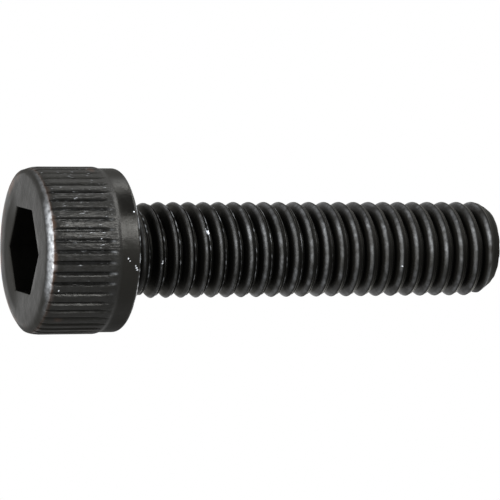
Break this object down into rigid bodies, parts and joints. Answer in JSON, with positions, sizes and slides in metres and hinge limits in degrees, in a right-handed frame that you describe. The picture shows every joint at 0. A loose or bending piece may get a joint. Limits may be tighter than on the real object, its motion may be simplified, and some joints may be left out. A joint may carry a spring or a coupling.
{
  "type": "hex socket cap screw",
  "caption": "Socket head cap screw with a knurled cylindrical head, a hexagon socket and a right-hand thread up to the head, in black oxide steel.",
  "frame": {"origin": "centre of the head's socket face, on which the screw stands", "axes": "+Z along the screw's axis from the head to the tip, two corners of the hexagon socket along Y"},
  "size_m": [0.0102, 0.0102, 0.0305],
  "materials": {
    "black_oxide_steel": "black oxide, lightly oiled, satin"
  },
  "bodies": {
    "root": {"cap_screw": "black_oxide_steel"}
  },
  "joints": []
}
